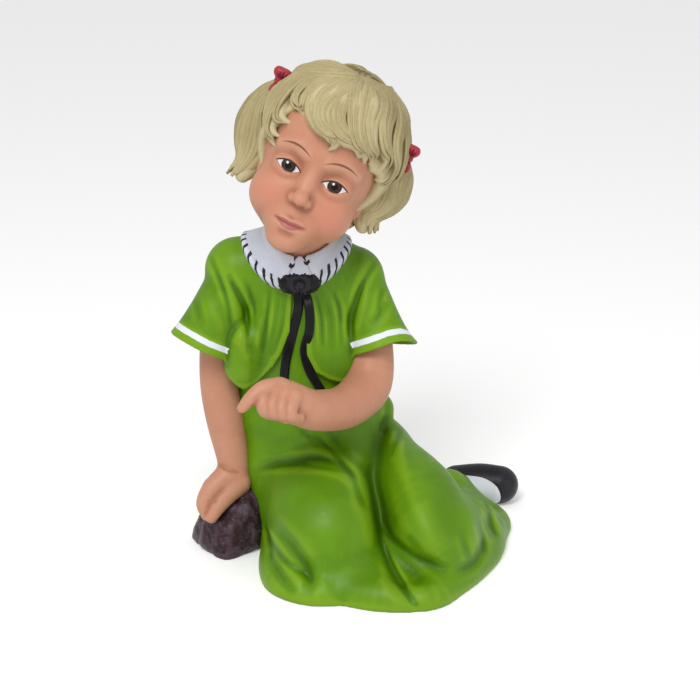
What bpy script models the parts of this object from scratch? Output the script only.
"""Garden statue of a seated girl, one hollow-looking painted casting made here as one solid.

The figure is modelled like clay: a block of distance values, below zero inside, to which rounded
lumps and limbs are added with soft joins and into which folds are pressed. Blender's own openvdb
module turns each block into a mesh, and Boolean unions fuse them into one body.
Every pose and proportion is in centimetres on a figure sixty centimetres high.
+X is to the right of someone facing the statue, -Y is towards them and +Z is up.
"""

import math

import bmesh
import bpy
import numpy as np
import openvdb

# Driving dimensions, in metres.
STATUE_HEIGHT = 0.60
RIBBON_WIDTH = 0.011
RIBBON_THICKNESS = 0.0045
COLLAR_INNER = 0.039
COLLAR_WIDTH = 0.027
COLLAR_THICKNESS = 0.005
SLEEVE_WALL = 0.0045
SLEEVE_RECESS = 0.014
JACKET_THICKNESS = 0.0055
HAIR_THICKNESS = 0.017

MOST_TRIANGLES = 9900
HEAD_TRIANGLES = 2400

# The face keeps finer faces than the rest of the head: its middle in the head's frame, reach and share.
FACE_MIDDLE = (0.0, 6.0, -4.5)
FACE_REACH = 5.5
FACE_SHARE = 0.4

# The figure's own centimetre, so that its pose and carving stay shares of its height.
CM = STATUE_HEIGHT / 60.0

# Grid cells of the clay blocks, in figure centimetres.
DRESS_CELL = 0.42
HEAD_CELL = 0.27
HAIR_CELL = 0.30
LIMB_CELL = 0.27
TRIM_CELL = 0.20
FAR = 6.0

# The pose, in figure centimetres.
NECK_BASE = np.array((-5.9, 1.4, 37.3))
HEAD_CENTRE = np.array((-2.9, -0.6, 49.12))
HEAD_SIZE = 1.04
HEAD_PITCH = math.radians(11.0)
HEAD_TILT = math.radians(25.0)
HEAD_TURN = math.radians(-4.0)


def head_axes():
    """The head's right, forward and up directions: looking up, leaning and slightly turned."""
    right = np.array((1.0, 0.0, 0.0))
    forward = np.array((0.0, -math.cos(HEAD_PITCH), math.sin(HEAD_PITCH)))
    up = np.array((0.0, math.sin(HEAD_PITCH), math.cos(HEAD_PITCH)))
    leaning_up = math.cos(HEAD_TILT) * up + math.sin(HEAD_TILT) * right
    leaning_right = math.cos(HEAD_TILT) * right - math.sin(HEAD_TILT) * up
    turned_right = math.cos(HEAD_TURN) * leaning_right - math.sin(HEAD_TURN) * forward
    turned_forward = math.cos(HEAD_TURN) * forward + math.sin(HEAD_TURN) * leaning_right
    return np.stack([turned_right, turned_forward, leaning_up])


HEAD_AXES = head_axes()


def from_head(point):
    """A point of the head's own frame (right, forward, up) in the statue's frame."""
    return HEAD_CENTRE + HEAD_SIZE * np.asarray(point, float) @ HEAD_AXES


def to_head(point):
    """A point of the statue's frame in the head's own frame."""
    return HEAD_AXES @ (np.asarray(point, float) - HEAD_CENTRE) / HEAD_SIZE


def smooth_curve(points, count):
    """count points on a Catmull-Rom curve through the given points, which may carry radii too."""
    p = np.asarray(points, float)
    p = np.vstack([2 * p[0] - p[1], p, 2 * p[-1] - p[-2]])
    s = np.linspace(0, len(p) - 3, count)
    i = np.minimum(s.astype(int), len(p) - 4)
    t = (s - i)[:, None]
    a, b, c, d = p[i], p[i + 1], p[i + 2], p[i + 3]
    return 0.5 * (
        2 * b
        + (c - a) * t
        + (2 * a - 5 * b + 4 * c - d) * t**2
        + (3 * b - a - 3 * c + d) * t**3
    )


def soft_min(a, b, blend):
    """The smaller of two distances, with the corner between them filled over the blend width."""
    h = np.clip(0.5 + 0.5 * (b - a) / blend, 0, 1)
    return b * (1 - h) + a * h - blend * h * (1 - h)


def soft_max(a, b, blend):
    return -soft_min(-a, -b, blend)


class Clay:
    """A block of distances to a surface on a regular grid, in figure centimetres."""

    def __init__(self, low, high, cell):
        self.low = np.asarray(low, float)
        self.cell = cell
        counts = np.ceil((np.asarray(high, float) - self.low) / cell).astype(int) + 1
        self.axes = [self.low[k] + cell * np.arange(counts[k]) for k in range(3)]
        self.field = np.full(counts, FAR, np.float32)

    def window(self, low, high):
        """The slices of the grid inside a box, and the coordinates of its cells."""
        cuts = []
        for axis, a, b in zip(self.axes, low, high):
            start = int(np.searchsorted(axis, a))
            end = int(np.searchsorted(axis, b))
            cuts.append(slice(start, max(end, start)))
        x, y, z = (axis[cut].astype(np.float32) for axis, cut in zip(self.axes, cuts))
        return tuple(cuts), x[:, None, None], y[None, :, None], z[None, None, :]

    def add(self, shape, blend=0.3):
        """Joins a shape to the clay, with a soft join of the blend width."""
        distance, low, high = shape
        cut, x, y, z = self.window(low - blend - 1.0, high + blend + 1.0)
        if self.field[cut].size:
            self.field[cut] = soft_min(self.field[cut], distance(x, y, z), blend)

    def carve(self, shape, blend=0.3):
        """Takes a shape out of the clay."""
        distance, low, high = shape
        cut, x, y, z = self.window(low - blend - 1.0, high + blend + 1.0)
        if self.field[cut].size:
            self.field[cut] = soft_max(self.field[cut], -distance(x, y, z), blend)

    def press(self, points, width, depth, taper=True, back=None):
        """Presses a groove of that width and depth along a curve, or raises a ridge if depth is negative.

        Points of three numbers lie in space. Points of two numbers are drawn on the front view plane,
        (x, height seen from twenty degrees above), and reach as far back as the plane y = back."""
        line = smooth_curve(points, 4 * len(points))
        flat = line.shape[1] == 2
        share = np.linspace(0, 1, len(line))
        fade = np.sin(np.pi * np.clip(share, 0.02, 0.98)) ** 0.5
        strength = depth * (fade if taper else np.ones(len(line)))
        reach = 2.6 * width
        if flat:
            low = np.array((line[:, 0].min() - reach, self.axes[1][0], self.axes[2][0]))
            high = np.array((line[:, 0].max() + reach, back + 2.0, self.axes[2][-1] + 1.0))
        else:
            low, high = line.min(0) - reach, line.max(0) + reach
        cut, x, y, z = self.window(low, high)
        block = self.field[cut]
        if not block.size:
            return
        if flat:
            seen = (x + 0 * y + 0 * z, VIEW_COS * z + VIEW_SIN * y + 0 * x)
        else:
            seen = (x, y, z)
        pressed = np.zeros(block.shape, np.float32)
        for a, b, sa, sb in zip(line[:-1], line[1:], strength[:-1], strength[1:]):
            along = b - a
            length = max(float(along @ along), 1e-9)
            t = np.clip(sum((s - o) * v for s, o, v in zip(seen, a, along)) / length, 0, 1)
            square = sum((s - o - t * v) ** 2 for s, o, v in zip(seen, a, along))
            amount = np.exp(-square / width**2) * (sa + (sb - sa) * t)
            pressed = np.where(np.abs(amount) > np.abs(pressed), amount, pressed)
        if flat:
            pressed = pressed * np.clip((back - y) / 1.5 + 0.5, 0, 1)
        self.field[cut] = block + pressed.astype(np.float32)

    def front(self, x, z):
        """The y of the clay's front surface above and below the height z at x, in each of many places."""
        i = np.clip(np.round((np.asarray(x) - self.low[0]) / self.cell).astype(int), 0, len(self.axes[0]) - 1)
        k = np.clip(np.round((np.asarray(z) - self.low[2]) / self.cell).astype(int), 0, len(self.axes[2]) - 1)
        columns = self.field[i, :, k]
        first = np.argmax(columns < 0, axis=1)
        rows = np.arange(len(first))
        outer, inner = columns[rows, first - 1], columns[rows, first]
        return self.axes[1][first] - self.cell * inner / (inner - outer)

    def mesh(self, name, place=None):
        """The clay's surface as a mesh object in metres. place moves its points into the statue's frame."""
        grid = openvdb.FloatGrid(FAR)
        grid.copyFromArray(self.field)
        points, triangles, quads = grid.convertToPolygons(0.0, 0.0)
        points = self.low + self.cell * points
        flat = np.abs(points[:, 2]) < 0.35 * self.cell
        if place is None:
            points[flat, 2] = 0.0
        else:
            points = place(points)
        faces = triangles.tolist() + quads.tolist()
        data = bpy.data.meshes.new(name)
        data.from_pydata((points * CM).tolist(), [], faces)
        if place is not None:
            data.flip_normals()
        piece = bpy.data.objects.new(name, data)
        bpy.context.scene.collection.objects.link(piece)
        return piece


VIEW_COS = math.cos(math.radians(20.0))
VIEW_SIN = math.sin(math.radians(20.0))


def lump(centre, radii, axes=None):
    """An ellipsoid. axes holds its own three directions as rows, where it is turned."""
    centre, radii = np.asarray(centre, float), np.asarray(radii, float)
    turn = np.eye(3) if axes is None else np.asarray(axes, float)

    def distance(x, y, z):
        local = [sum(turn[i, k] * (c - centre[k]) for k, c in enumerate((x, y, z))) for i in range(3)]
        near = np.sqrt(sum((c / r) ** 2 for c, r in zip(local, radii)))
        slope = np.sqrt(sum((c / r**2) ** 2 for c, r in zip(local, radii))) + 1e-6
        return near * (near - 1) / slope

    reach = np.sqrt(((turn * radii[:, None]) ** 2).sum(0))
    return distance, centre - reach, centre + reach


def limb(points, samples=None):
    """A round limb along a smooth curve. Each point is (x, y, z, radius)."""
    line = smooth_curve(points, samples or 3 * len(points))
    radii = line[:, 3]

    def distance(x, y, z):
        nearest = np.full(np.broadcast_shapes(x.shape, y.shape, z.shape), FAR, np.float32)
        for a, b in zip(line[:-1], line[1:]):
            along = b[:3] - a[:3]
            length = max(float(along @ along), 1e-9)
            t = sum((s - o) * v for s, o, v in zip((x, y, z), a, along)) / length
            t = np.clip(t, 0, 1)
            square = sum((s - o - t * v) ** 2 for s, o, v in zip((x, y, z), a, along))
            nearest = np.minimum(nearest, np.sqrt(square) - (a[3] + (b[3] - a[3]) * t))
        return nearest

    return distance, (line[:, :3] - radii[:, None]).min(0), (line[:, :3] + radii[:, None]).max(0)


def band(points, normals, width, thickness):
    """A flat strap along a curve: half of width to each side, and thickness across the given normals."""
    line = np.asarray(points, float)

    def distance(x, y, z):
        nearest = np.full(np.broadcast_shapes(x.shape, y.shape, z.shape), FAR, np.float32)
        for a, b, n in zip(line[:-1], line[1:], normals):
            along = b - a
            length = max(float(along @ along), 1e-9)
            t = np.clip(sum((s - o) * v for s, o, v in zip((x, y, z), a, along)) / length, 0, 1)
            off = [s - o - t * v for s, o, v in zip((x, y, z), a, along)]
            across = sum(o * v for o, v in zip(off, n))
            side = np.sqrt(np.maximum(sum(o**2 for o in off) - across**2, 0))
            wide = np.sqrt((side / (width / 2)) ** 4 + (across / (thickness / 2)) ** 4 + 1e-9) ** 0.5
            nearest = np.minimum(nearest, (wide - 1) * thickness / 2)
        return nearest

    return distance, line.min(0) - width, line.max(0) + width


def cone_with_hem(top, hem, top_radius, hem_radius, flare, droop, wall, recess):
    """A flared sleeve: a cone cut at its hem, hollowed there to the recess depth, leaving the wall.

    On the side away from the body the hem flares out and droops by those lengths."""
    top, hem = np.asarray(top, float), np.asarray(hem, float)
    length = float(np.linalg.norm(hem - top))
    axis = (hem - top) / length
    away = np.array((math.copysign(1.0, hem[0] - top[0]), 0.35, 0.0)) / math.hypot(1.0, 0.35)

    def distance(x, y, z):
        off = [s - o for s, o in zip((x, y, z), top)]
        t = sum(o * v for o, v in zip(off, axis))
        side = np.sqrt(np.maximum(sum(o**2 for o in off) - t**2, 0))
        outwards = sum((o - t * v) * w for o, v, w in zip(off, axis, away)) / (side + 0.1)
        outwards = np.clip(outwards, 0, 1) ** 2
        end = length + droop * outwards
        share = np.clip(t / end, 0, 1)
        radius = top_radius + (hem_radius - top_radius) * share**1.6
        radius = radius + flare * (0.25 + 0.75 * outwards) * share**6
        round_top = np.sqrt(side**2 + np.minimum(t, 0) ** 2) - radius
        outer = soft_max(round_top, t - end, 0.25)
        hollow = soft_max(side - (radius - wall), end - recess - t, 0.3)
        return soft_max(outer, -hollow, 0.15)

    reach = hem_radius + flare + droop + 0.5
    return distance, np.minimum(top, hem) - reach, np.maximum(top, hem) + reach


def ground_cut(clay):
    """Cuts the clay flat at the ground."""
    z = clay.axes[2][None, None, :].astype(np.float32)
    clay.field = np.maximum(clay.field, -z)


# The dress

SLEEVES = {
    "right": dict(
        top=(-13.3, 2.4, 33.9), hem=(-17.7, 0.8, 25.2),
        top_radius=3.3, hem_radius=3.9, flare=0.5, droop=0.3,
    ),
    "left": dict(
        top=(0.9, 2.4, 33.0), hem=(3.7, 0.2, 25.5),
        top_radius=3.1, hem_radius=3.7, flare=0.8, droop=1.5,
    ),
}


def add_torso(clay):
    """Chest, shoulders and waist, leaning to the statue's right."""
    clay.add(lump((-5.0, 3.4, 15.5), (9.2, 6.2, 10.0)), 2.0)
    clay.add(lump((-5.8, 2.9, 25.5), (8.2, 5.5, 9.4)), 2.5)
    clay.add(limb([(-13.4, 2.6, 34.3, 3.4), (-6.0, 2.8, 34.9, 3.4), (0.3, 2.8, 33.3, 3.2)]), 2.5)
    clay.add(lump((-5.8, 2.2, 36.2), (4.8, 4.1, 2.6)), 2.0)
    clay.add(limb([(-12.6, -0.4, 26.5, 1.7), (-12.8, -0.6, 23.6, 1.6), (-12.7, -0.6, 22.2, 1.3)]), 1.0)


HEM = (
    # the cloth's edge on the ground: x, y and the radius of its roll
    (-8.4, -3.5, 2.2), (-8.6, -8.0, 2.4), (-7.6, -13.2, 2.4), (-4.4, -15.9, 2.3), (-0.4, -15.9, 2.2),
    (4.0, -17.3, 2.4), (9.2, -16.8, 2.3), (12.4, -11.6, 2.3), (15.6, -6.4, 2.2), (17.3, 0.0, 2.1),
    (18.2, 3.9, 2.0), (16.4, 7.2, 1.7),
)


def add_skirt(clay):
    """Hips, the two thighs, the folded shins and the cloth that spreads on the ground."""
    clay.add(lump((-0.8, 4.6, 7.6), (9.0, 8.2, 8.6)), 2.0)
    clay.add(lump((-5.2, 0.5, 5.0), (6.6, 7.0, 9.0)), 2.0)
    clay.add(limb([(-3.0, 2.5, 7.8, 7.6), (-2.9, -4.0, 6.6, 7.3), (-2.6, -8.6, 4.6, 7.2)]), 2.0)
    clay.add(limb([(2.6, 2.5, 7.6, 6.4), (7.0, -3.5, 6.4, 6.3), (9.0, -8.2, 4.0, 6.6)]), 1.8)
    clay.add(limb([(9.8, -8.5, 2.5, 5.4), (13.4, -2.5, 2.2, 4.7), (13.6, 4.6, 1.6, 3.5)]), 2.0)
    clay.add(limb([(4.0, 8.5, 2.2, 4.3), (9.5, 9.6, 1.8, 3.7), (13.6, 9.8, 1.6, 2.9)]), 2.0)
    clay.add(lump((3.2, 4.2, 15.8), (2.2, 2.6, 2.0)), 1.2)
    clay.add(lump((-9.6, 1.6, 9.5), (3.5, 4.5, 5.0)), 1.5)
    clay.add(lump((12.4, 6.8, 3.9), (2.7, 3.0, 2.3)), 1.5)
    hem = [(x, y, 0.4, r) for x, y, r in HEM]
    clay.add(limb(hem, 5 * len(hem)), 2.6)
    clay.add(lump((3.2, -8.0, 0.0), (12.0, 9.8, 4.3)), 2.0)
    clay.add(lump((8.6, 3.6, 0.0), (8.6, 7.6, 4.2)), 2.0)


FRONT_FOLDS = (
    # points (x, seen height), width, depth
    (((4.6, 15.0), (3.4, 11.4), (3.3, 7.4), (4.3, 3.2), (6.0, -0.4), (8.0, -3.2)), 1.6, 1.7),
    (((2.4, 9.0), (3.2, 4.4), (3.8, 0.8), (5.0, -2.6), (7.4, -5.4)), 0.9, 0.9),
    (((-10.6, 9.6), (-6.5, 10.3), (-3.0, 10.4), (0.2, 8.6), (1.8, 5.0)), 0.6, 0.6),
    (((-2.6, 13.8), (-0.6, 10.8), (2.0, 8.4)), 0.8, 0.4),
    (((-9.0, 2.9), (-6.6, 0.4), (-4.8, -2.6), (-5.0, -4.6)), 1.0, 0.7),
    (((-9.6, -0.6), (-8.0, -3.0), (-6.6, -4.6)), 0.8, 0.4),
    (((12.6, -2.4), (14.6, -1.6), (16.0, 0.4)), 0.8, 0.5),
    (((16.4, 3.2), (17.2, 1.2)), 0.6, 0.4),
    (((6.8, 1.6), (8.6, -0.8), (11.4, -2.4)), 0.8, 0.5),
    (((5.0, 13.0), (7.4, 8.4), (9.4, 3.4), (11.6, -0.6)), 1.6, -0.5),
    (((-1.0, 10.2), (2.4, 5.6), (3.6, 0.8), (4.4, -3.6)), 0.8, -0.35),
)

BACK_FOLDS = (
    # points in space, width, depth
    (((-9.8, 5.5, 17.0), (-8.6, 8.5, 10.0), (-7.6, 10.4, 3.0)), 1.2, 0.6),
    (((-4.2, 9.4, 18.0), (-3.0, 12.0, 10.0), (-2.2, 13.2, 2.0)), 1.3, 0.8),
    (((1.2, 9.6, 16.0), (3.4, 12.6, 8.0), (4.4, 13.4, 1.5)), 1.2, 0.8),
    (((5.0, 7.6, 14.0), (9.0, 10.8, 7.5), (11.4, 13.6, 2.0)), 1.1, 0.7),
)


def press_folds(clay):
    """The skirt's folds: those seen from the front are drawn on the view plane, the rest in space."""
    for points, width, depth in FRONT_FOLDS:
        clay.press(points, width, depth, back=3.0)
    for points, width, depth in BACK_FOLDS:
        clay.press(points, width, depth)


def jacket_region(x, y, z):
    """Below zero where the short open jacket covers the bodice: above its hem and beside its front edges."""
    levels = (19.4, 20.6, 21.8, 23.7, 25.4, 28.3, 32.8)
    left_edge = np.interp(z, levels, (-13.6, -12.7, -10.9, -9.2, -8.2, -7.1, -6.8)).astype(np.float32)
    levels = (21.5, 22.2, 23.3, 25.4, 28.5, 32.8)
    right_edge = np.interp(z, levels, (-0.6, -2.4, -4.1, -5.1, -5.3, -5.2)).astype(np.float32)
    opening = np.maximum(left_edge - x, x - right_edge)
    opening = np.maximum(opening, y - 2.0)
    hem = 20.5 + 0.1 * (x + 12.7) + 0.9 * np.maximum(-12.7 - x, 0)
    return np.maximum(hem - z, -opening)


def add_jacket(clay):
    """The short jacket: a layer over the bodice, thicker at its hem, where it stands away."""
    cut, x, y, z = clay.window((-16.0, -8.0, 17.0), (6.0, 12.0, 36.0))
    body = clay.field[cut]
    lift = JACKET_THICKNESS / CM + 0.25 * np.exp(-((z - 21.0) / 4.0) ** 2)
    layer = soft_max(body - lift, jacket_region(x, y, z), 0.3)
    clay.field[cut] = soft_min(body, layer, 0.15)


BODICE_FOLDS = (
    (((-14.2, 32.0), (-12.4, 28.0), (-12.0, 23.4)), 0.5, 0.5),
    (((-16.2, 30.4), (-14.6, 27.2), (-14.2, 25.2)), 0.8, 0.25),
    (((1.4, 31.4), (0.2, 27.6), (0.0, 25.2)), 0.5, 0.45),
    (((4.2, 29.0), (2.8, 26.6)), 0.6, 0.25),
    (((-11.0, 29.4), (-10.2, 25.4), (-10.6, 21.6)), 0.9, 0.3),
    (((-8.2, 30.4), (-8.8, 26.6), (-9.6, 22.6)), 0.7, 0.25),
    (((-3.0, 29.6), (-2.2, 26.4), (-2.2, 23.4)), 0.8, 0.3),
)


def make_dress():
    """The whole dress: torso, skirt, jacket and sleeves, cut flat at the ground."""
    clay = Clay((-22.0, -23.5, -1.4), (25.0, 17.5, 38.5), DRESS_CELL)
    add_torso(clay)
    add_skirt(clay)
    press_folds(clay)
    add_jacket(clay)
    for sleeve in SLEEVES.values():
        clay.add(cone_with_hem(**sleeve, wall=SLEEVE_WALL / CM, recess=SLEEVE_RECESS / CM), 0.5)
    for points, width, depth in BODICE_FOLDS:
        clay.press(points, width, depth, back=2.0)
    ground_cut(clay)
    return clay


# The arms and hands


def add_right_arm(clay):
    """The straight arm that leans on the rock, and its closed hand with the thumb in front."""
    clay.add(limb([
        (-15.6, 2.0, 28.4, 2.0), (-15.9, 2.0, 25.0, 2.25), (-15.9, 1.9, 20.0, 2.35),
        (-15.2, 1.2, 15.5, 2.35), (-14.3, 0.3, 11.0, 2.05), (-14.1, -0.2, 8.6, 2.0),
    ]), 0.8)
    clay.add(lump((-15.0, -1.0, 7.9), (2.6, 2.3, 1.9)), 1.0)
    clay.add(limb([
        (-15.2, -1.4, 8.9, 1.5), (-16.8, -2.6, 7.8, 1.3), (-17.7, -3.4, 6.4, 1.0), (-17.4, -3.7, 5.0, 0.75),
    ]), 0.4)
    for row in range(3):
        back = 1.3 * row
        clay.add(limb([
            (-16.0, -1.2 + back, 7.6, 1.0), (-17.3, -1.7 + back, 6.8, 0.9),
            (-17.7, -1.9 + back, 5.4, 0.82), (-17.2, -1.9 + back, 4.2, 0.72),
        ]), 0.25)
    clay.add(limb([
        (-13.3, -1.5, 8.2, 1.2), (-14.8, -2.9, 7.3, 1.1), (-16.0, -3.9, 6.2, 0.95), (-16.8, -4.4, 5.0, 0.75),
    ]), 0.35)


def add_left_arm(clay):
    """The bent arm across the lap, with the first finger pointing."""
    clay.add(limb([
        (2.2, 1.6, 28.6, 2.0), (2.7, 0.8, 25.4, 2.45), (2.1, -1.8, 21.2, 2.85),
        (-0.6, -5.8, 20.0, 2.6), (-3.9, -9.0, 20.8, 2.4), (-5.8, -10.4, 21.9, 2.3),
    ]), 0.8)
    clay.add(lump((-7.8, -11.2, 23.0), (2.7, 2.3, 2.4)), 1.2)
    clay.add(limb([
        (-8.2, -11.4, 24.5, 1.3), (-9.9, -12.4, 24.7, 1.05),
        (-11.3, -13.2, 23.9, 0.85), (-12.3, -13.6, 22.9, 0.6),
    ]), 0.5)
    for row in range(4):
        side = 1.05 * row
        clay.add(limb([
            (-9.6 + side, -12.4, 24.4 - 0.25 * row, 0.9), (-9.9 + side, -13.7, 23.4 - 0.25 * row, 0.78),
            (-9.7 + side, -13.9, 22.6 - 0.2 * row, 0.7), (-9.0 + side, -13.1, 21.9 - 0.15 * row, 0.66),
        ]), 0.4)
    clay.add(limb([(-5.8, -11.2, 21.9, 1.0), (-6.3, -12.4, 21.6, 0.85), (-7.3, -13.2, 21.6, 0.7)]), 0.4)


def make_arms():
    clay = Clay((-19.5, -16.5, 2.5), (7.0, 6.5, 34.0), LIMB_CELL)
    add_right_arm(clay)
    add_left_arm(clay)
    return clay


# The head, in its own frame: x to the viewer's right, y forward, z up

EYE_SIDE = 2.75
EYE_HEIGHT = -2.3
EYE_DEPTH = 5.35
EYEBALL = 1.62
EYELID = 0.2


def lid(side):
    """An eyelid ring: a thin shell round the eyeball, with an almond opening in front."""
    centre = np.array((side * EYE_SIDE, EYE_DEPTH, EYE_HEIGHT))

    def distance(x, y, z):
        x, y, z = x - centre[0], y - centre[1], z - centre[2]
        ball = np.sqrt(x**2 + y**2 + z**2) - EYEBALL - EYELID
        across = np.clip(1 - (x / 1.42) ** 2, -0.6, 1)
        lift = 0.1 + 0.05 * side * x
        almond = np.maximum(z - lift - 0.68 * across, -(z - lift) - 0.68 * across)
        return soft_max(ball, -almond, 0.14)

    reach = EYEBALL + EYELID
    return distance, centre - reach, centre + reach


def add_skull(clay):
    """The child's round skull, full cheeks and small jaw."""
    clay.add(lump((0.0, -0.8, 1.2), (7.0, 8.5, 7.0)), 1.0)
    clay.add(lump((0.0, 2.2, -3.9), (5.5, 5.0, 6.7)), 2.4)
    clay.add(lump((0.0, 3.0, 2.6), (5.4, 4.9, 4.4)), 2.0)
    for side in (-1, 1):
        clay.add(lump((side * 3.3, 4.3, -5.7), (2.5, 2.6, 2.6)), 1.8)
    clay.add(lump((0.0, 5.2, -9.7), (2.0, 1.6, 1.5)), 1.8)


def add_eyes(clay):
    for side in (-1, 1):
        clay.carve(lump((side * 2.65, 8.3, -2.2), (2.0, 1.9, 1.25)), 1.1)
        clay.add(lid(side), 0.3)
        clay.add(lump((side * EYE_SIDE, EYE_DEPTH, EYE_HEIGHT), (EYEBALL,) * 3), 0.03)
        brow = [(side * 1.3, 7.3, -0.1, 0.5), (side * 2.8, 7.0, 0.3, 0.5), (side * 4.4, 5.9, -0.3, 0.45)]
        clay.add(limb(brow), 1.0)


def add_nose(clay):
    clay.add(limb([(0, 6.5, -1.2, 0.7), (0, 7.1, -3.0, 0.65), (0, 7.8, -4.5, 0.7)]), 1.0)
    clay.add(lump((0.0, 8.1, -4.9), (0.85, 0.8, 0.72)), 0.5)
    for side in (-1, 1):
        clay.add(lump((side * 0.85, 7.4, -5.1), (0.52, 0.65, 0.5)), 0.35)
        clay.carve(lump((side * 0.42, 7.9, -5.65), (0.26, 0.42, 0.26)), 0.15)


def add_mouth(clay):
    clay.add(lump((0.0, 5.6, -7.9), (2.5, 1.6, 1.7)), 1.2)
    upper = [
        (-1.6, 6.55, -7.75, 0.12), (-0.8, 7.15, -7.5, 0.32), (0, 7.3, -7.6, 0.3),
        (0.8, 7.15, -7.5, 0.32), (1.6, 6.55, -7.75, 0.12),
    ]
    lower = [
        (-1.3, 6.6, -8.05, 0.12), (-0.6, 7.0, -8.3, 0.38), (0, 7.1, -8.35, 0.42),
        (0.6, 7.0, -8.3, 0.38), (1.3, 6.6, -8.05, 0.12),
    ]
    clay.add(limb(upper, 21), 0.25)
    clay.add(limb(lower, 21), 0.25)
    clay.press([
        (-1.8, 6.8, -7.75), (-0.8, 7.5, -7.95), (0, 7.6, -7.9), (0.8, 7.5, -7.95), (1.8, 6.8, -7.75),
    ], 0.2, 0.35)
    clay.press([(0, 7.7, -6.2), (0, 7.5, -7.1)], 0.3, 0.12)
    clay.press([(-0.9, 6.8, -9.0), (0, 7.0, -9.05), (0.9, 6.8, -9.0)], 0.45, 0.15)


def add_ears(clay):
    for side in (-1, 1):
        lean = np.array(((0.94, 0.0, -0.34 * side), (0.0, 1.0, 0.0), (0.34 * side, 0.0, 0.94)))
        clay.add(lump((side * 6.25, -0.2, -3.2), (0.6, 1.5, 2.3), lean), 0.6)
        clay.carve(lump((side * 6.8, 0.25, -2.9), (0.4, 0.8, 1.3), lean), 0.35)


def add_neck(clay):
    base, root = to_head(NECK_BASE + (0, 1.0, -3.5)), to_head(NECK_BASE + (0, 0.5, 0.0))
    clay.add(limb([(*base, 3.0), (*root, 3.5), (0.0, -1.6, -6.4, 3.5), (0.0, -1.4, -4.0, 3.7)]), 1.4)


def make_head():
    clay = Clay((-9.0, -10.5, -21.0), (9.0, 11.0, 9.5), HEAD_CELL)
    add_skull(clay)
    add_neck(clay)
    add_ears(clay)
    add_eyes(clay)
    add_mouth(clay)
    add_nose(clay)
    return clay


# The hair, in the head's frame

SCALP_CENTRE = np.array((0.0, -0.9, 1.3))
SCALP_RADII = np.array((7.0, 8.6, 7.1))
TIE = np.array((7.3, -1.4, 4.4))
TIE_STEP = 0.8


def scalp(longitude, latitude, lift):
    """A point over the skull: longitude from the front towards the viewer's right, latitude up, in degrees."""
    a, b = math.radians(longitude), math.radians(latitude)
    way = np.array((math.sin(a) * math.cos(b), math.cos(a) * math.cos(b), math.sin(b)))
    return SCALP_CENTRE + (SCALP_RADII + lift) * way


def lock(route, width):
    """A tapering lock of hair: route holds (longitude, latitude, lift) over the skull."""
    points = [scalp(*stop) for stop in route]
    taper = np.interp(np.linspace(0, 1, len(points)), (0, 0.3, 0.75, 1), (0.55, 1.0, 0.8, 0.25)) * width
    return limb([(*p, r) for p, r in zip(points, taper)], 5 * len(points))


def add_cap(clay):
    """The combed hair that lies close to the skull, open at the face."""
    thick = HAIR_THICKNESS / CM
    clay.add(lump(SCALP_CENTRE, SCALP_RADII + thick - 0.1), 0.5)
    for side in (-1, 1):
        clay.add(lump((3.0 * side, -0.5, 2.6), (5.6, 7.6, 7.6)), 0.5)
    clay.add(lump((0.0, -3.4, -3.4), (6.4, 5.6, 5.4)), 1.5)
    clay.carve(lump((-0.4, 9.4, -3.2), (7.2, 8.4, 9.6)), 0.6)
    for side in (-1, 1):
        clay.carve(lump((5.8 * side, 5.0, -2.6), (2.0, 3.0, 3.4)), 0.6)
    clay.carve(lump((0.0, 1.5, -13.5), (9.0, 9.0, 6.0)), 0.6)
    clay.press([(0.6, 4.6, 8.8), (0.3, 1.5, 10.2), (0.4, -2.0, 10.4), (0.0, -6.0, 9.0)], 0.8, 0.8)


def add_combed_locks(clay):
    """Locks combed from the centre parting down to the two ties, front to back."""
    thick = HAIR_THICKNESS / CM
    for side in (-1, 1):
        for step in range(9):
            start = 15 + 21 * step
            high = 78 - 0.15 * abs(start - 90)
            wave = 0.15 * math.sin(2.4 * step)
            middle = 0.5 * (start + 95)
            route = [
                (side * start * 0.25, high, thick - 0.6),
                (side * start * 0.8, 62 - 6 * abs(math.sin(step)), thick - 0.3 + wave),
                (side * middle, 44, thick - 0.1 - wave),
                (side * 96, 30, thick),
            ]
            clay.add(lock(route, 1.15), 0.35)


def add_back_locks(clay):
    """Locks drawn sideways from a parting down the back of the head up to the ties."""
    thick = HAIR_THICKNESS / CM
    for side in (-1, 1):
        for high in (68, 52, 36, 20, 4, -12, -28):
            route = [
                (side * 180, high, thick - 0.5),
                (side * 158, 0.9 * high, thick - 0.2),
                (side * 132, 0.6 * high + 8, thick - 0.1),
                (side * 102, 0.2 * high + 22, thick),
            ]
            clay.add(lock(route, 1.3), 0.35)


PIGTAIL_LENGTH = {-1: 11.2, 1: 9.0}


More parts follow.
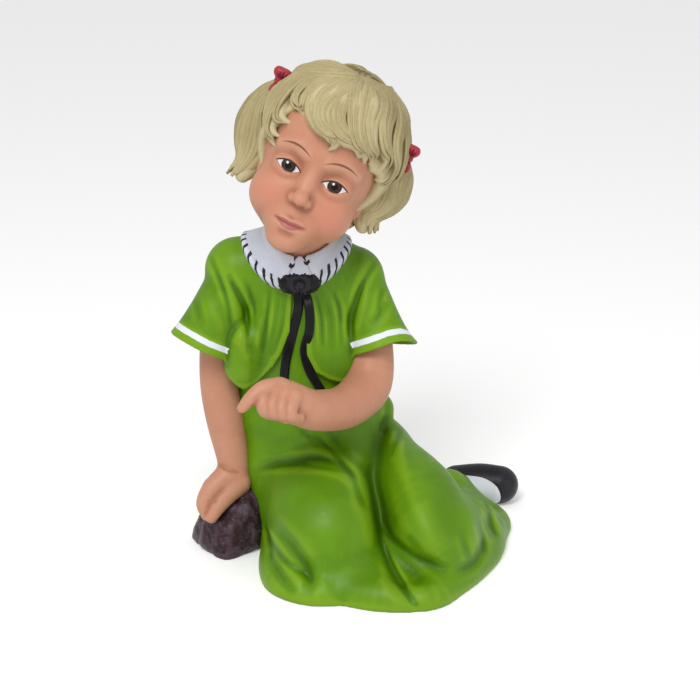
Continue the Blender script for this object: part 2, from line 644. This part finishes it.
def add_pigtails(clay):
    """Two bunches that bulge out from their ties, hang past the ears and flip out at the tips."""
    for side, length in PIGTAIL_LENGTH.items():
        x, y, z = TIE * (side, 1, 1) - (0.0, 0.0, TIE_STEP * side)
        x -= 0.2
        core = [
            # outwards, forwards, share of the length, radius
            (0.0, 0.0, 0.0, 1.2), (0.6, -0.4, 0.17, 1.8), (0.7, -0.6, 0.42, 2.1),
            (0.3, -0.4, 0.66, 1.9), (-0.3, 0.0, 0.85, 1.4), (0.0, 0.3, 1.0, 0.8),
        ]
        clay.add(limb([(x + out * side, y + on, z - down * length, r) for out, on, down, r in core]), 0.8)
        for turn in range(7):
            a = 2 * math.pi * turn / 7
            around = math.cos(a), math.sin(a)
            flip = 0.3 + 0.5 * side * around[0]
            strand = [
                # outwards, forwards, share of the length, distance from the core, radius
                (0.0, 0.0, 0.0, 0.6, 0.7), (0.6, -0.4, 0.23, 1.4, 0.85), (0.7, -0.6, 0.49, 1.7, 0.9),
                (0.1, -0.3, 0.74, 1.4, 0.8), (flip, 0.1, 0.97 + 0.03 * (turn % 3), 0.9, 0.4),
            ]
            clay.add(limb([
                (x + out * side + off * around[0], y + on + off * around[1], z - down * length, r)
                for out, on, down, off, r in strand
            ]), 0.3)


FRINGE = (
    # route of (longitude, latitude, lift) from the parting to the tip, and width
    (((2, 72, 1.0), (-11, 62, 1.3), (-22, 37, 1.7), (-20, 21, 1.8),
      (-10, 13, 1.7), (2, 11, 1.6), (7, 5, 1.4), (4, -1, 1.1)), 1.25),
    (((6, 74, 1.0), (-4, 62, 1.3), (-12, 40, 1.7), (-12, 23, 1.9),
      (-3, 14, 1.9), (9, 12, 1.7), (15, 6, 1.3)), 1.3),
    (((8, 74, 1.0), (3, 63, 1.3), (-3, 40, 1.7), (0, 23, 1.9),
      (10, 13, 1.9), (22, 10, 1.7), (29, 3, 1.3)), 1.35),
    (((10, 74, 1.0), (11, 65, 1.3), (9, 43, 1.7), (12, 26, 1.9),
      (20, 16, 1.9), (30, 10, 1.7), (36, 0, 1.3)), 1.4),
    (((14, 75, 1.0), (17, 67, 1.3), (23, 46, 1.7), (23, 29, 1.9),
      (31, 17, 1.8), (39, 11, 1.6), (41, 1, 1.2)), 1.4),
    (((20, 76, 1.0), (25, 69, 1.3), (42, 52, 1.6), (39, 33, 1.8),
      (44, 19, 1.7), (53, 10, 1.5), (51, -3, 1.2)), 1.4),
    (((30, 76, 1.0), (42, 70, 1.3), (60, 54, 1.5), (58, 38, 1.7),
      (56, 22, 1.6), (66, 9, 1.5), (65, -4, 1.3), (56, -9, 0.9)), 1.3),
    (((40, 70, 1.0), (60, 62, 1.2), (74, 44, 1.5), (70, 28, 1.6),
      (74, 12, 1.5), (79, -2, 1.3), (70, -14, 1.0)), 1.25),
    (((60, 66, 1.0), (80, 50, 1.2), (87, 30, 1.4), (81, 12, 1.4), (87, -4, 1.2), (80, -18, 1.0)), 1.15),
    (((-6, 72, 1.0), (-15, 62, 1.2), (-30, 44, 1.6), (-31, 29, 1.6), (-26, 20, 1.3), (-31, 13, 0.8)), 1.05),
    (((-12, 70, 1.0), (-22, 61, 1.2), (-39, 46, 1.5), (-42, 32, 1.5), (-36, 20, 1.3), (-27, 17, 0.7)), 1.1),
    (((-16, 72, 1.0), (-26, 64, 1.2), (-49, 45, 1.5), (-53, 27, 1.6),
      (-51, 13, 1.5), (-45, 5, 1.2), (-34, 6, 0.7)), 1.15),
    (((-24, 72, 1.0), (-36, 64, 1.2), (-62, 44, 1.4), (-59, 24, 1.6),
      (-56, 6, 1.5), (-51, -7, 1.2), (-41, -9, 0.7)), 1.15),
    (((-34, 72, 1.0), (-47, 65, 1.2), (-68, 40, 1.4), (-67, 21, 1.5),
      (-61, 3, 1.4), (-53, -12, 1.1), (-43, -20, 0.7)), 1.05),
    (((-44, 70, 1.0), (-60, 62, 1.2), (-80, 40, 1.4),
      (-76, 20, 1.5), (-74, 0, 1.3), (-64, -16, 1.0)), 1.05),
)


def make_hair():
    clay = Clay((-13.5, -13.0, -11.5), (13.5, 11.5, 12.0), HAIR_CELL)
    add_cap(clay)
    add_combed_locks(clay)
    add_back_locks(clay)
    for route, width in FRINGE:
        clay.add(lock(route, width), 0.3)
    add_pigtails(clay)
    return clay


def make_hair_bows():
    """A small red bow over each tie: two loops and a knot."""
    clay = Clay((-12.0, -6.0, 0.5), (12.0, 3.0, 9.5), TRIM_CELL)
    for side in (-1, 1):
        centre = TIE * (side, 1, 1) + (0.25 + 0.8 * side, 2.3, 0.1 - TIE_STEP * side)
        for way in (-1, 1):
            tip = np.array((0.1 * way * side, 0.3 * way, 0.85 * way))
            clay.add(lump(centre + 0.7 * tip, (0.7, 0.8, 0.7)), 0.25)
            for edge in (-0.5, 0.0, 0.5):
                clay.add(lump(centre + 1.2 * tip + (edge, 0.2 * edge, 0), (0.55, 0.9, 0.6)), 0.3)
        clay.add(lump(centre, (0.75, 0.7, 0.5)), 0.2)
    return clay


# The trim

COLLAR_MIDDLE = np.array((-0.45, 0.6, 1.0))


def make_collar():
    """A flat round collar that follows the shoulders as an even layer."""
    clay = Clay(NECK_BASE - (9.5, 9.0, 7.0), NECK_BASE + (9.5, 10.0, 4.0), TRIM_CELL)
    add_torso(clay)
    x, y, z = np.meshgrid(*clay.axes, indexing="ij")
    from_neck = np.hypot(x - NECK_BASE[0], y - NECK_BASE[1])
    from_middle = np.sqrt(sum((s - o) ** 2 for s, o in zip((x, y, z), NECK_BASE + COLLAR_MIDDLE)))
    region = soft_max(from_middle - (COLLAR_INNER + COLLAR_WIDTH) / CM, COLLAR_INNER / CM - from_neck, 0.2)
    top = (JACKET_THICKNESS + COLLAR_THICKNESS) / CM
    layer = soft_max(clay.field - top, region, 0.25)
    clay.field = np.maximum(layer, -clay.field - 0.5).astype(np.float32)
    return clay


def ribbon(dress, route):
    """A ribbon laid on the front of the dress along a route of (x, height)."""
    line = smooth_curve(route, 14)
    depth = dress.front(line[:, 0], line[:, 1])
    points = np.column_stack([line[:, 0], depth - 0.1, line[:, 1]])
    return band(points, [(0.0, 1.0, 0.0)] * len(points), RIBBON_WIDTH / CM, RIBBON_THICKNESS / CM)


BOW_CENTRE = (-5.9, 34.3)
BOW_LOOPS = 10


def make_bow(dress):
    """The black neck bow: a gathered knot with loops, and two hanging ribbons."""
    clay = Clay((-12.0, -11.0, 15.0), (1.5, 2.0, 38.0), TRIM_CELL)
    x, z = BOW_CENTRE
    y = float(dress.front([x], [z])[0]) - 1.0
    for turn in range(BOW_LOOPS):
        a = 2 * math.pi * turn / BOW_LOOPS
        clay.add(lump((x + 1.7 * math.cos(a), y + 0.2, z + 0.95 * math.sin(a)), (0.85, 1.0, 0.75)), 0.3)
    for side in (-1, 1):
        clay.add(lump((x + 1.25 * side, y + 0.1, z - 0.1 + 0.1 * side), (1.15, 1.0, 1.1)), 0.3)
    clay.add(lump((x, y - 0.2, z - 0.2), (0.7, 0.9, 0.8)), 0.15)
    clay.add(ribbon(dress, [
        (x - 0.2, z - 0.6), (x - 0.2, 31.0), (x - 0.9, 28.0), (x - 1.7, 24.6), (x - 2.0, 22.0),
    ]), 0.1)
    clay.add(ribbon(dress, [
        (x + 0.4, z - 0.6), (x + 1.1, 31.0), (x + 1.1, 28.5), (x + 0.5, 26.0), (x + 1.0, 23.5), (x + 2.4, 20.8),
    ]), 0.1)
    return clay


# The rock, the shoe and the sock

ROCK_CENTRE = np.array((-13.9, -0.8, 3.1))
ROCK_FACETS = (
    # outward direction and distance from the centre
    ((-1.0, -0.3, 0.35), 4.3), ((-0.5, -0.9, 0.35), 4.1), ((0.25, -1.0, 0.25), 4.0), ((0.9, -0.6, 0.1), 4.2),
    ((1.0, 0.2, 0.5), 4.2), ((0.45, 0.2, 1.0), 5.1), ((-0.75, -0.1, 0.9), 3.1), ((-0.3, -0.75, 0.8), 3.7),
    ((0.3, 0.9, 0.4), 4.0), ((-0.8, 0.8, 0.3), 4.2), ((-0.8, -0.5, -0.6), 5.4), ((0.7, -0.7, -0.6), 4.4),
    ((0.4, -0.5, 0.85), 4.5),
)


def rock_shape():
    """Flat facets round a centre, with their edges softened."""

    def distance(x, y, z):
        found = None
        for way, reach in ROCK_FACETS:
            way = np.asarray(way, float) / np.linalg.norm(way)
            plane = sum(w * (s - c) for w, s, c in zip(way, (x, y, z), ROCK_CENTRE)) - reach
            found = plane if found is None else soft_max(found, plane, 0.7)
        return found

    return distance, ROCK_CENTRE - 5.5, ROCK_CENTRE + 6.0


def make_rock():
    clay = Clay(ROCK_CENTRE - (7.0, 7.0, 4.6), ROCK_CENTRE + (7.0, 7.0, 7.5), LIMB_CELL)
    clay.add(rock_shape(), 0.2)
    ground_cut(clay)
    return clay


def make_shoe():
    """The shoe lies on its side, its opening towards the front and its sole to the back."""
    clay = Clay((11.0, 6.0, -1.0), (24.0, 17.0, 8.0), LIMB_CELL)
    clay.add(limb([(13.8, 11.6, 2.6, 2.2), (16.8, 11.9, 2.4, 2.5), (19.3, 11.5, 2.3, 2.45)]), 0.4)
    ground_cut(clay)
    return clay


def make_sock():
    clay = Clay((11.0, 6.0, -1.0), (24.0, 17.0, 8.0), LIMB_CELL)
    clay.add(limb([(12.6, 9.8, 2.4, 1.9), (16.4, 10.5, 2.15, 1.95), (18.4, 10.7, 2.0, 1.85)]), 0.4)
    ground_cut(clay)
    return clay


# Putting the casting together


def paint(name, colour, roughness):
    """A plain painted finish."""
    material = bpy.data.materials.new(name)
    material.use_nodes = True
    shader = material.node_tree.nodes["Principled BSDF"]
    shader.inputs["Base Color"].default_value = (*colour, 1.0)
    shader.inputs["Roughness"].default_value = roughness
    shader.inputs["Metallic"].default_value = 0.0
    return material


def join(body, others):
    """Unites the other meshes with the body and removes them."""
    tools = bpy.data.collections.new("cutters")
    bpy.context.scene.collection.children.link(tools)
    tools.hide_render = True
    for piece in others:
        tools.objects.link(piece)
        bpy.context.scene.collection.objects.unlink(piece)
    union = body.modifiers.new("union", "BOOLEAN")
    union.operation = "UNION"
    union.solver = "MANIFOLD"
    union.operand_type = "COLLECTION"
    union.collection = tools
    union.material_mode = "TRANSFER"
    bake_modifiers(body)
    for piece in list(tools.objects):
        bpy.data.objects.remove(piece)
    bpy.data.collections.remove(tools)


def bake_modifiers(body):
    """Replaces an object's mesh by its evaluated one."""
    graph = bpy.context.evaluated_depsgraph_get()
    data = bpy.data.meshes.new_from_object(body.evaluated_get(graph))
    body.modifiers.clear()
    body.data = data


def triangles(body):
    body.data.calc_loop_triangles()
    return len(body.data.loop_triangles)


def fill_hollows(body):
    """Removes the closed shells of bubbles inside the body, so that only its outside stays."""
    shape = bmesh.new()
    shape.from_mesh(body.data)
    unseen = set(shape.verts)
    shells = []
    while unseen:
        front = [unseen.pop()]
        shell = list(front)
        while front:
            near = {edge.other_vert(vert) for vert in front for edge in vert.link_edges} & unseen
            unseen -= near
            front = list(near)
            shell += front
        shells.append(shell)
    shells.sort(key=len)
    print("bubbles filled:", len(shells) - 1)
    for shell in shells[:-1]:
        bmesh.ops.delete(shape, geom=shell, context="VERTS")
    shape.to_mesh(body.data)
    shape.free()


def spare_face(head):
    """A vertex group that lets the thinning spare the face: low weights near its middle."""
    count = len(head.data.vertices)
    points = np.empty(count * 3)
    head.data.vertices.foreach_get("co", points)
    away = np.linalg.norm(points.reshape(-1, 3) / CM - from_head(FACE_MIDDLE), axis=1)
    weights = np.round(np.clip((away - FACE_REACH) / 3.0, FACE_SHARE, 1.0), 1)
    group = head.vertex_groups.new(name="thinned")
    for weight in np.unique(weights):
        group.add(np.flatnonzero(weights == weight).tolist(), float(weight), "REPLACE")
    return group.name


def thin_out(body, most, group=""):
    """Collapses the finest faces until the mesh has at most that many triangles."""
    thinner = body.modifiers.new("thinner", "DECIMATE")
    thinner.ratio = min(1.0, most / triangles(body))
    thinner.vertex_group = group
    thinner.use_collapse_triangulate = True
    bake_modifiers(body)
    body.vertex_groups.clear()


def centre_on_ground(body):
    """Moves the mesh so that the origin is the middle of its box, on the ground."""
    count = len(body.data.vertices)
    points = np.empty(count * 3)
    body.data.vertices.foreach_get("co", points)
    points = points.reshape(-1, 3)
    low, high = points.min(0), points.max(0)
    middle = np.array(((low[0] + high[0]) / 2, (low[1] + high[1]) / 2, low[2]))
    points -= middle
    body.data.vertices.foreach_set("co", points.ravel())
    body.data.update()
    print("box of the statue:", np.round(high - low, 4), "middle moved from:", np.round(middle, 4))
    return middle


def build():
    for old in list(bpy.data.objects):
        bpy.data.objects.remove(old)
    green = paint("green_paint", (0.23, 0.42, 0.02), 0.4)
    skin = paint("skin_paint", (0.62, 0.31, 0.19), 0.45)
    hair = paint("hair_paint", (0.60, 0.50, 0.22), 0.5)
    white = paint("white_paint", (0.70, 0.72, 0.75), 0.45)
    black = paint("black_paint", (0.012, 0.011, 0.014), 0.4)
    red = paint("red_paint", (0.30, 0.02, 0.03), 0.4)
    brown = paint("rock_paint", (0.06, 0.03, 0.035), 0.6)

    dress = make_dress()
    head = make_head().mesh("head", from_head)
    thin_out(head, HEAD_TRIANGLES, spare_face(head))
    pieces = [
        # mesh, paint, most triangles
        (dress.mesh("dress"), green, 2800),
        (head, skin, HEAD_TRIANGLES),
        (make_arms().mesh("arms"), skin, 1250),
        (make_hair().mesh("hair", from_head), hair, 2600),
        (make_hair_bows().mesh("hair_bows", from_head), red, 160),
        (make_collar().mesh("collar"), white, 360),
        (make_bow(dress).mesh("bow"), black, 420),
        (make_rock().mesh("rock"), brown, 120),
        (make_shoe().mesh("shoe"), black, 120),
        (make_sock().mesh("sock"), white, 60),
    ]
    for piece, finish, most in pieces:
        piece.data.materials.append(finish)
        if piece is not head:
            thin_out(piece, most)
    body = pieces[0][0]
    join(body, [piece for piece, _, _ in pieces[1:]])
    fill_hollows(body)
    print("triangles of the united pieces:", triangles(body))
    thin_out(body, MOST_TRIANGLES, spare_face(body))
    middle = centre_on_ground(body)
    body.name = "girl_statue"
    body.data.name = "girl_statue"
    figure = bpy.data.collections.new("girl_statue")
    bpy.context.scene.collection.children.link(figure)
    figure.objects.link(body)
    bpy.context.scene.collection.objects.unlink(body)
    return middle


MIDDLE = build()
